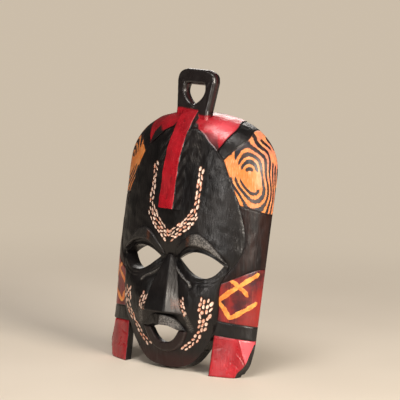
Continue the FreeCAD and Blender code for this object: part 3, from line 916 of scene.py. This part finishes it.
def cut_uv(points):
    """A cut from the face edge to the rim, densely sampled in the front view."""
    start = int(np.argmin(np.linalg.norm(EDGE_LINE - points[0], axis=1)))
    line = smooth([EDGE_LINE[start]] + list(points[1:]), 0.25)
    beyond = np.flatnonzero(line[:, 0] >= wing_width(line[:, 1]) - 0.05)
    if len(beyond):
        line = line[:beyond[0] + 1]
    extra = line[-1] + (line[-1] - line[-2]) / 0.25 * np.linspace(0.05, 6, 60)[:, None]
    extra = extra[extra[:, 0] < wing_width(extra[:, 1])]
    line = np.concatenate([line, extra])
    line[-1, 0] = wing_width(line[-1:, 1])[0]
    return start, line


def rim_run(top_v, low_v):
    q = np.linspace(to_q(top_v), to_q(low_v), 200)
    return np.stack([np.full(200, LATERAL), q], 1)


def pq_to_uv(loop):
    return wing(loop)[:, :2]


def wing_outline(upper, lower, step):
    first, top = cut_uv(upper)
    last, low = cut_uv(lower)
    edge = EDGE_LINE[first:last + 1]
    runs = [unroll(top), rim_run(top[-1, 1], low[-1, 1]), unroll(low)[::-1], unroll(edge)[::-1]]
    return joined(runs, step)


# Zebra stripes: rings round one drawn-out whorl, that wander and break off.
WHORL_DEGREES, WHORL_V = 58.0, 200.0
WHORL_STRETCH = 2.1     # how much longer than wide
WHORL_TILT = 0.35       # its top leans in towards the crown
STRIPE_PITCH, STRIPE_WIDTH = 5.6, 3.2
STRIPE_WANDER, STRIPE_BREAK = 3.4, 0.3

# Giraffe net: thick pale strokes between a few corners (degrees round the section, v).
NET_KNOT, NET_LEFT, NET_LOW = (58.0, 90.0), (40.0, 73.0), (50.0, 57.0)
NET_TOP, NET_SIDE = (80.0, 105.0), (82.0, 76.0)
NET_SPUR, NET_BACK = (68.0, 82.0), (51.0, 95.0)
NET_STROKE, NET_BOW = 3.8, 0.8


def bowed(start, end, bow):
    """Three points from start to end, the middle one pushed sideways."""
    (x0, y0), (x1, y1) = start, end
    length = math.hypot(x1 - x0, y1 - y0)
    middle = (x0 + x1) / 2 - bow * (y1 - y0) / length, (y0 + y1) / 2 + bow * (x1 - x0) / length
    return start, middle, end


NET_LINES = [(NET_STROKE, bowed(start, end, NET_BOW)) for start, end in (
    (NET_LEFT, NET_KNOT), (NET_KNOT, NET_TOP), (NET_BACK, NET_KNOT), (NET_KNOT, NET_SPUR),
    (NET_LEFT, NET_LOW), (NET_LOW, NET_SIDE))]


def even_mm(p, v):
    """Near-true millimetres on the wing for brush strokes."""
    return np.stack([p * wing_width(v) / HALF_WIDTH, to_q(v)], 1)


def zebra_ink(pq, points):
    """Signed distance in millimetres to the dark stripes."""
    centre = even_mm(arr([WHORL_DEGREES / 90 * LATERAL]), arr([WHORL_V]))
    x, y = (even_mm(pq[:, 0], to_v(pq[:, 1])) - centre).T
    across = x * math.cos(WHORL_TILT) + y * math.sin(WHORL_TILT)
    along = (y * math.cos(WHORL_TILT) - x * math.sin(WHORL_TILT)) / WHORL_STRETCH
    turns = (np.hypot(across, along) + STRIPE_WANDER * waves(x, y, 9.0, 61)) / STRIPE_PITCH - 0.35
    beside = np.abs(turns - np.round(turns)) * STRIPE_PITCH
    half = STRIPE_WIDTH / 2 * (1 + 0.25 * waves(x, y, 5.0, 62))
    return beside - half + np.clip((waves(x, y, 6.5, 63) - STRIPE_BREAK) * 8, 0, 4)


def ink_field(strokes):
    """Signed distance to the brush strokes given as (width, ((degrees round the section, v), ...))."""
    dots, radii = [], []
    for width, points in strokes:
        degrees, v = arr(points).T
        line = smooth(even_mm(degrees / 90 * LATERAL, v), 0.5)
        run = np.arange(len(line)) * 0.5
        ends = np.minimum(run, run[-1] - run)
        dots.append(line)
        radii.append(width * 0.62 * np.clip(0.5 + ends / 5.0, 0, 1) * (1 + 0.12 * np.sin(run / 3.1 + width)))
    dots, radii = np.concatenate(dots), np.concatenate(radii)

    def field(pq, points):
        xy = even_mm(pq[:, 0], to_v(pq[:, 1]))
        out = np.empty(len(xy))
        for i in range(0, len(xy), 2000):
            out[i:i + 2000] = (np.linalg.norm(xy[i:i + 2000, None] - dots, axis=2) - radii).min(1)
        return out
    return field


def wing_relief(seed, swell):
    def relief(pq, points, border):
        return groove(border, 0.8, 0.45) + swell * waves(*pq.T, 6.0, seed) + 0.08 * waves(
            pq[:, 0], pq[:, 1], 2.2, seed + 1)
    return relief


def pink_upper(pq, points):
    return np.clip((pq[:, 0] - 70) / 40 + (pq[:, 1] - 200) / 60, 0, 1)


def pink_lower(pq, points):
    return np.clip((pq[:, 0] - 70) / 30 + (66 - pq[:, 1]) / 30, 0, 1)


def zone_outline(name, step):
    i = [zone for zone, _ in WING_CUTS].index(name)
    return wing_outline(WING_CUTS[i][1], WING_CUTS[i + 1][1], step)


def build_zone(name, slot, material, step, seed, swell, fields, wall=None):
    right = shell_piece(name + "_painted_right", [zone_outline(name, step)], wing, (pq_to_uv,), step,
                        wing_relief(seed, swell), [material, WOOD, BLACK], fields, wall=wall)
    left = mirrored_piece(right, name + "_painted_left")
    keep(right, slot, name + "_right")
    keep(left, slot, name + "_left")


# ---- feet ----
FACET_LINE = ((61.0, 37.4), (68.0, 22.0), (74.0, 13.0), (79.0, 5.0))


def foot_outline(step):
    _, top = cut_uv(WING_CUTS[-1][1])
    top = top[top[:, 0] > FOOT_INNER_U + 0.9]
    depth = WING_DEPTHS[0]
    corner = arr(FOOT_CORNER + ((79.0, 0.0),))
    sole_u = np.linspace(79.0, FOOT_INNER_U, 60)
    sole_w = depth * np.sqrt(1 - (sole_u / HALF_WIDTH) ** 2)
    sole = np.stack([sole_u, -sole_w * math.tan(LEAN)], 1)
    corner[-1] = sole[0]
    inner = arr((sole[-1], (FOOT_INNER_U + 0.4, 20.0), tuple(top[0])))
    outer = smooth(np.concatenate([[(89.0, 34.0)], corner]), 0.5)
    runs = [unroll(top), rim_run(top[-1, 1], 34.0), unroll(outer), unroll(sole), unroll(smooth(inner, 0.5))]
    return joined(runs, step)


def facet_side(pq):
    """Distance in millimetres to the right of the facet's edge."""
    degrees, v = arr(FACET_LINE).T
    edge = np.interp(pq[:, 1], v[::-1], degrees[::-1] / 90 * LATERAL)
    return pq[:, 0] - edge


def foot_relief(pq, points, border):
    side = facet_side(pq)
    lift = groove(np.minimum(border, 5), 1.2, 0.8)
    lift += -0.9 * np.clip(side / 14, 0, 1) + 0.35 * np.exp(-(side / 0.8) ** 2)
    scratch = np.sin((pq[:, 1] * 1.0 + (pq[:, 0] - 60) ** 2 / 60) / 1.9)
    scratched = (side < -1) * (waves(*pq.T, 7, 51) > -0.1)
    lift += -0.22 * np.clip(scratch - 0.72, 0, 1) * 4 * scratched
    return lift + 0.12 * waves(*pq.T, 5.0, 50)


def build_feet():
    # Painted highlight: the foot's outer facet is painted lighter pinkish red, as lit from the side.
    fields = {"pink_tint_and_highlight": lambda pq, p: np.clip(facet_side(pq) / 1.2 + 0.3, 0, 0.8),
              "black": lambda pq, p: np.zeros(len(pq))}
    right = shell_piece("foot_painted_right", [foot_outline(0.9)], wing, (pq_to_uv,), 0.9, foot_relief,
                        [RED, WOOD, BLACK], fields, wall=FOOT_WALL)
    for vertex in right.data.vertices:
        vertex.co.z = max(vertex.co.z, 0.0)
    left = mirrored_piece(right, "foot_painted_left")
    keep(right, "red_paint", "foot_right")
    keep(left, "red_paint", "foot_left")


# ---- crown ----
SOOT_LINE = ((0.0, 251.0), (12.0, 249.0), (21.0, 237.0), (30.0, 240.0), (46.0, 214.0))


def build_cap():
    start, cut = cut_uv(WING_CUTS[0][1])
    edge = EDGE_LINE[:start + 1]
    u = np.linspace(cut[-1, 0], -cut[-1, 0], 200)
    rim = np.stack([u, np.zeros(200)], 1)
    cut_xy, edge_xy = crown_coords(cut), crown_coords(edge)
    cut_xy[-1, 1] = 0
    top = crown_coords(resample(FACE_TOP, 0.5))
    runs = [top, edge_xy, cut_xy, rim, cut_xy[::-1] * (-1, 1), edge_xy[::-1] * (-1, 1)]
    loop = joined(runs, 1.1)
    line = smooth(SOOT_LINE, 1.0)

    def soot(xy, points):
        limit = np.interp(np.abs(points[:, 0]), line[:, 0], line[:, 1])
        wobble = 1.5 * waves(points[:, 0], points[:, 1], 2.5, 21)
        return np.clip((limit - points[:, 1] + wobble) / 2.5 + 0.5, 0, 1)

    def bright(xy, points):
        # Painted highlight: a lighter pinkish spot on the right half of the cap.
        u, v = np.abs(points[:, 0]), points[:, 1]
        return 0.75 * np.exp(-((u - 38) / 12) ** 2) * np.exp(-((v - 246) / 12) ** 2) * (points[:, 0] > 0)

    def relief(xy, points, border):
        return groove(border, 1.0, 0.6) + 0.25 * waves(*xy.T, 6.0, 31) + 0.08 * waves(
            xy[:, 0], xy[:, 1], 2.2, 32)

    piece = shell_piece("crown_cap_painted", [loop], crown, (lambda lp: crown(lp)[:, :2],), 1.0, relief,
                        [RED, WOOD, BLACK], {"black": soot, "pink_tint_and_highlight": bright})
    keep(piece, "red_paint", "crown_cap")


def build_crest():
    """Raised crest: red front, black knife-cut flanks, square lower end."""
    profile = smooth(CREST_PROFILE, 0.9)
    rings = []
    across = np.linspace(-1, 1, 27)
    for v, w in profile:
        root = max(30.0, float(face_w(arr([0.0]), arr([min(v, 258.0)]))[0]) - 6.0)
        wobble = 0.25 * math.sin(v / 4.3) + 0.15 * math.sin(v / 1.9)
        half = CREST_HALF + wobble - 0.2
        flank = np.linspace(0, 1, 16)[:-1]
        rise = w - 0.7 - root
        left = [(-half - 1.6 * (1 - f) ** 2 - 0.25 * math.sin(9 * f + v / 2.6), v, root + rise * f)
                for f in flank]
        front = [(x * (half - 0.5 * (abs(x) > 0.99)), v, w - 0.7 * (abs(x) > 0.99) - 0.25 * x * x)
                 for x in across]
        right = [(-x, y, z) for x, y, z in left[::-1]]
        rings.append(left + front + right)
    rings = arr(rings)
    cols = rings.shape[1]
    slots = [0 if 15 <= c < 15 + len(across) - 1 else 1 for c in range(cols)]
    edge = np.abs(rings[:, :, 0]) - CREST_HALF
    # Painted highlight: lighter pinkish red along the crest's right edge only.
    pink_tint_and_highlight = np.clip(0.9 + edge / 1.2, 0, 1) * (rings[:, :, 0] > 0) * 0.6
    fields = {"border": np.full(rings.shape[:2], 9.0), "black": np.zeros(rings.shape[:2]), "pink_tint_and_highlight": pink_tint_and_highlight}
    piece = lofted("crest_painted", rings, [RED, BLACK], slots, fields, 30)
    keep(piece, "red_paint", "forehead_crest")


def build_loop():
    right = arr(LOOP_OUTLINE)
    top = smooth(LOOP_OUTLINE[2:], 0.5)
    sides = [right[:2], right[1:3], top]
    outline = joined(sides + [arr((right[-1], right[-1] * (-1, 1)))] + [mirror(r) for r in sides[::-1]]
                     + [arr((right[0] * (-1, 1), right[0]))], 0.8)
    corner, tip = arr(LOOP_HOLE)
    sides = corner * (-1, 1), (-11.4, 284.9), (-1.8, 268.2), tip, (1.8, 268.2), (11.4, 284.9), corner
    hole = joined([smooth(sides, 0.3),
                   arr((corner, corner * (-1, 1)))], 0.8)
    loops = [outline, hole]
    coords, triangles, ring = fill(loops, scatter(loops, 0.8))
    u, v = coords.T
    d = loops_distance(coords, loops, 1.0)
    round_off = np.where(v < 250, 1.0, bump(d, 3.6))
    dent = 0.25 * waves(u, v, 3.4, 61) + 0.15 * waves(u, v, 1.6, 62)
    half = (LOOP_HALF_W - 1.0) * round_off + round_off * (1.0 + dent)
    half = np.minimum(half, LOOP_HALF_W)
    ridge = 0.7 * np.exp(-(distance(folded(coords), arr(((0.5, 264.0), (16.5, 290.0)))) / 1.2) ** 2)
    front = np.stack([u, v, LOOP_MID_W + np.minimum(half + ridge * round_off, LOOP_HALF_W + 0.6)], 1)
    back = np.stack([u, v, LOOP_MID_W - half], 1)
    limit = 258.5 + 4.0 * np.clip((9.5 - u) / 2.0, 0, 1) + 0.8 * waves(u, v, 2.2, 63)
    red = np.clip((limit - v) / 1.6, 0, 1)
    fields = {"border": (d, 9.0), "black": (1 - red, 1.0), "pink_tint_and_highlight": (np.zeros(len(u)), 0.0)}
    lengths = [len(loop) for loop in loops]
    piece = solid("hanging_loop_carved", (front, triangles, ring, lengths), (back, triangles, ring),
                  [RED, BLACK, BLACK], fields, 50)
    keep(piece, "black_paint", "hanging_loop")


# ---- raised features of the face ----
def raised_piece(name, loop, step, top, sink, materials, fields, slot, node, sharp=38):
    """Closed pad over a (u, v) loop: top(uv, d, base) gives its front, sink is how deep its back lies."""
    coords, triangles, ring = fill([loop], scatter([loop], step))
    d = loops_distance(coords, [loop], 0.8)
    u, v = coords.T
    base = face_w(u, v)
    front = np.stack([u, v, np.maximum(top(coords, d, base), base - 0.5)], 1)
    back = np.stack([u, v, base - sink], 1)
    values = {key: (field(coords, d), 0.0) for key, field in fields.items()}
    front, back = (front, triangles, ring, [len(loop)]), (back, triangles, ring)
    piece = solid(name, front, back, materials, values, sharp)
    return keep(piece, slot, node)


def stipple(uv, pitch, radius):
    """Profile of a field of punched dots, 1 in the middle of each."""
    row = np.round(uv[:, 1] / (pitch * 0.866))
    x = uv[:, 0] / pitch + 0.5 * (row % 2)
    jitter_x = 0.22 * np.sin(row * 12.9 + np.round(x) * 78.2)
    jitter_y = 0.22 * np.sin(row * 39.3 + np.round(x) * 11.1)
    dx = (x - np.round(x) - jitter_x * 0.5) * pitch
    dy = uv[:, 1] - (row + jitter_y * 0.5) * pitch * 0.866
    return np.clip(1 - (dx * dx + dy * dy) / radius ** 2, 0, 1)


def level(value):
    """A field that is the same everywhere."""
    return lambda uv, d: np.full(len(uv), value)


def build_brows():
    loop = joined([smooth(BROW_TOP), smooth(BROW_LOW)], 0.8)

    def top(uv, d, base):
        inner = np.clip((uv[:, 0] - 6) / 22, 0, 1)
        end = 0.45 + 0.55 * np.clip((66 - uv[:, 0]) / 16, 0, 1)
        dots = 0.4 * stipple(uv, 1.7, 0.7) * np.clip(d - 0.8, 0, 1) * inner
        return base + (1.0 + 2.7 * inner) * end * bump(d, 2.4) - dots

    def grey_highlight(uv, d):
        # Painted highlight: the brow's outer top is greyish and stippled, with a bright dot at its outer end.
        outer = np.clip((uv[:, 0] - 24) / 8, 0, 1) * np.clip((d - 0.2) / 1.2, 0, 1)
        return np.maximum(0.95 * outer * (0.45 + 0.55 * stipple(uv, 1.7, 0.8)),
                          0.9 * np.exp(-(np.hypot(uv[:, 0] - 64.5, uv[:, 1] - 112.0) / 1.6) ** 2))

    def brown(uv, d):
        return -1.6 * np.exp(-((uv[:, 0] - 25) / 3.4) ** 2) * np.clip(d, 0, 1) + 1.0

    fields = {"grey_highlight": grey_highlight, "band": brown, "chip": level(-1.0),
              "tint": level(0.0), "red_brown": level(0.0)}
    right = raised_piece("brow_carved_right", loop, 0.8, top, 1.0, [CARVED, BLACK, BLACK], fields,
                         "black_paint", "brow_ridge_right")
    left = mirrored_piece(right, "brow_carved_left")
    # Painted shade: the left brow keeps a fifth of the painted highlight, as the side turned away from the
    # light.
    for value in left.data.attributes["grey_highlight"].data:
        value.value *= 0.2
    keep(left, "black_paint", "brow_ridge_left")


def between(outer, inner):
    """Outline of the band between two lines that both start at the same side."""
    ends = arr((outer[-1], inner[-1])), arr((inner[0], outer[0]))
    return joined([smooth(outer), ends[0], smooth(inner)[::-1], ends[1]], 0.8)


def build_lips():
    blank = {"band": level(2.0), "chip": level(-1.0),
             "tint": level(0.0)}
    upper = between(whole(LIP_TOP), whole(MOUTH_TOP))
    lower = between(whole(LIP_LOW)[::-1], whole(MOUTH_LOW)[::-1])

    def prow(uv, d, base):
        wedge = LIP_PROW_W - LIP_SLOPE * np.abs(uv[:, 0]) + 0.1 * waves(*uv.T, 1.5, 71)
        return base + np.maximum(wedge - base, 1.0) * bump(d, 0.9)

    def facet(uv, d):
        # Painted highlight: the upper lip's right half is lighter and greyish, as a facet lit from the right.
        right = np.clip((uv[:, 0] - 0.3) / 0.8, 0, 1) * np.clip((24 - uv[:, 0]) / 6, 0, 1)
        hatch = 0.85 + 0.15 * np.sin(uv[:, 0] * 2.4 + 0.8 * uv[:, 1])
        return 0.75 * right * hatch * np.clip(d / 1.2, 0, 1)

    def roll(uv, d, base):
        return base + 3.0 * bump(d, 2.6) - 0.3

    raised_piece("upper_lip_carved", upper, 0.8, prow, 6.0, [CARVED, BLACK, BLACK],
                 {**blank, "grey_highlight": facet, "red_brown": level(0.0)},
                 "black_paint", "upper_lip")
    # The lower lip carries a faint painted highlight, a greyish line just inside its edge.
    raised_piece("lower_lip_carved", lower, 0.8, roll, 6.0, [CARVED, BLACK, BLACK],
                 {**blank, "grey_highlight": lambda uv, d: 0.12 * np.exp(-((d - 1.2) / 0.8) ** 2),
                  "red_brown": level(0.3)}, "black_paint", "lower_lip")


def build_nose():
    levels = arr([s[0] for s in NOSE_SECTIONS])
    heights = np.linspace(levels[0], levels[-1], 74)
    sizes = spline_weights(levels, heights) @ arr([s[1:] for s in NOSE_SECTIONS])
    rings, grey_highlight, band = [], [], []
    for v, (ridge, ridge_w, shoulder, shoulder_w, foot) in zip(heights, sizes):
        root = max(30.0, float(hollow_w(arr([0.0]), arr([v]))[0]) + 2.5)
        half = arr(((foot, root), (foot, max(shoulder_w - 8.0, root + 0.5)), (shoulder, shoulder_w),
                    (ridge, ridge_w), (0.0, ridge_w + 0.4)))
        line = np.concatenate([
            half[i] + (half[i + 1] - half[i]) * np.linspace(0, 1, parts, endpoint=False)[:, None]
            for i, parts in enumerate((3, 8, 8, 12))])
        for _ in range(2):
            line[2:-1] = (line[1:-2] + 2 * line[2:-1] + line[3:]) / 4
        line = np.concatenate([line, half[-1:]])
        left = (line * (-1, 1))[::-1][1:]
        section = np.concatenate([line, left])
        u, w = section.T
        hatch = 0.22 * np.sin(u * 3.1 + 0.5 * v) * (np.abs(u) > ridge) * (v < 100)
        shift = -1.2 * (1 - bump(arr([v - 54.0]), 2.5)[0])
        rings.append(np.stack([u, np.full(len(u), v), w + hatch + shift], 1))
        # Painted highlight: faint greyish streaks on the nose's right flank, where light falls.
        on_flank = (u > ridge + 0.3) & (w > 38)
        wear_and_highlight = 0.07 * (0.5 + 0.5 * np.sin(u * 4.2 + 0.3 * v))
        wear_and_highlight = wear_and_highlight * np.clip((v - 70) / 10, 0, 1) * np.clip((106 - v) / 8, 0, 1)
        grey_highlight.append(np.where(on_flank, wear_and_highlight, 0.0))
        band.append(np.where((np.abs(u) > shoulder * 0.9) & (v < 76), -0.9 + 1.2 * np.abs(v - 64) / 10, 1.0))
    shape = arr(rings).shape[:2]
    fields = {"grey_highlight": grey_highlight, "band": band, "chip": np.full(shape, -1.0), "tint": np.zeros(shape),
              "red_brown": np.zeros(shape)}
    piece = lofted("nose_carved", rings, [CARVED, BLACK], None, fields, 42)
    keep(piece, "black_paint", "nose")


# ---- stage ----
PALE = (0.60, 0.51, 0.40)
FADE_FROM, FADE_TO = 0.3, 0.95     # metres from the object where the floor turns into the backdrop
FLOOR_RADIUS, WALL_RADIUS, WALL_HEIGHT, WALL_BEND = 1.6, 4.5, 4.0, 0.6


def revolved(name, section, material):
    """A stage sheet turned round the upright axis; a section that starts on the axis gives a disc."""
    count = 96
    angles = np.linspace(0, 2 * math.pi, count, endpoint=False)
    points = [(r * math.cos(a), r * math.sin(a), z) for r, z in section for a in angles]
    faces = [(i + j, i + (j + 1) % count, i + count + (j + 1) % count, i + count + j)
             for i in range(0, (len(section) - 1) * count, count) for j in range(count)]
    mesh = bpy.data.meshes.new(name)
    mesh.from_pydata(points, [], faces)
    mesh.shade_smooth()
    mesh.materials.append(material)
    sheet = bpy.data.objects.new(name, mesh)
    bpy.context.scene.collection.objects.link(sheet)
    return sheet


def build_stage():
    """A pale floor all round, which fades into a plain lit backdrop that is the same from every side."""
    s = Shader("studio_floor")
    radius = s.node("ShaderNodeVectorMath", {0: s.position}, operation="LENGTH").outputs["Value"]
    far = s.ramp(radius, FADE_FROM, FADE_TO)
    near = s.mix(s.patches(3.0, 2.0, 0.3, 0.7), (0.70, 0.63, 0.54), (0.74, 0.67, 0.58))
    material = s.finish(s.mix(far, near, (0.0, 0.0, 0.0)), 0.8, (), specular=0.0)
    s.bsdf.inputs["Emission Color"].default_value = (*PALE, 1)
    s.set(s.bsdf.inputs["Emission Strength"], far)
    revolved("floor", [(0.001, 0.0), (0.5, 0.0), (FLOOR_RADIUS, 0.0)], material)
    s = Shader("studio_backdrop")
    material = s.finish((0.0, 0.0, 0.0, 1), 1.0, (), specular=0.0)
    s.bsdf.inputs["Emission Color"].default_value = (*PALE, 1)
    s.bsdf.inputs["Emission Strength"].default_value = 1.0
    bend = [(WALL_RADIUS - WALL_BEND + WALL_BEND * math.sin(a), WALL_BEND - WALL_BEND * math.cos(a))
            for a in np.linspace(0.0, math.pi / 2, 12)]
    backdrop = revolved("backdrop", [(FADE_TO, -0.001)] + bend + [(WALL_RADIUS, WALL_HEIGHT)], material)
    backdrop.visible_diffuse = backdrop.visible_glossy = backdrop.visible_shadow = False


AZIMUTH, ELEVATION, ROLL = 35.9, 7.8, 2.4
VIEW_DISTANCE = 2.55
AIM = Vector((0.0105, 0.0135, 0.172))


def build_camera():
    az, el, roll = (math.radians(a) for a in (AZIMUTH, ELEVATION, ROLL))
    back = Vector((math.cos(el) * math.sin(az), -math.cos(el) * math.cos(az), math.sin(el)))
    level = Vector((math.cos(az), math.sin(az), 0))
    upright = back.cross(level)
    right = level * math.cos(roll) + upright * math.sin(roll)
    up = back.cross(right)
    data = bpy.data.cameras.new("camera")
    data.lens, data.sensor_width = 225.0, 36.0
    data.clip_end = 20.0
    camera = bpy.data.objects.new("camera", data)
    rotation = Matrix((right, up, back)).transposed().to_4x4()
    camera.matrix_world = Matrix.Translation(AIM + back * VIEW_DISTANCE) @ rotation
    bpy.context.scene.collection.objects.link(camera)
    bpy.context.scene.camera = camera


def area_light(name, place_at, size, power, colour):
    data = bpy.data.lights.new(name, "AREA")
    data.size, data.energy, data.color = size, power, colour
    light = bpy.data.objects.new(name, data)
    target = Vector((0, 0, 0.15))
    light.location = place_at
    light.visible_camera = False
    light.rotation_euler = (target - Vector(place_at)).to_track_quat("-Z", "Y").to_euler()
    bpy.context.scene.collection.objects.link(light)


def build_lights():
    area_light("key", (1.7, -0.5, 0.75), 0.7, 42.0, (1.0, 0.91, 0.80))
    area_light("overhead", (0.25, -0.75, 1.9), 0.8, 22.0, (1.0, 0.95, 0.9))
    area_light("rear_soft", (-1.1, 1.9, 1.1), 0.8, 9.0, (1.0, 0.95, 0.9))
    area_light("front_soft", (0.45, -2.3, 0.62), 0.45, 13.0, (1.0, 0.95, 0.9))
    world = bpy.data.worlds.new("studio")
    world.use_nodes = True
    world.node_tree.nodes["Background"].inputs[0].default_value = (0.80, 0.72, 0.62, 1)
    world.node_tree.nodes["Background"].inputs[1].default_value = 0.08
    bpy.context.scene.world = world
    bpy.context.scene.view_settings.view_transform = "Standard"


build_face()
for zone in (
    ("crown_band", "black_paint", BLACK, 1.1, 11, 0.18, {}),
    ("zebra_panel", "zebra_paint", ZEBRA, 0.85, 12, 0.15, {"ink": zebra_ink, "pink_tint_and_highlight": pink_upper}),
    ("side_panel", "brown_paint", BROWN, 1.3, 13, 0.22, {}),
    ("giraffe_panel", "giraffe_paint", GIRAFFE, 0.85, 14, 0.18,
     {"ink": ink_field(NET_LINES), "pink_tint_and_highlight": pink_lower}),
    ("ankle_band", "black_paint", BLACK, 1.1, 15, 0.18, {}, FOOT_WALL),
):
    build_zone(*zone)
build_feet()
build_cap()
build_crest()
build_loop()
build_brows()
build_lips()
build_nose()
build_stage()
build_camera()
build_lights()
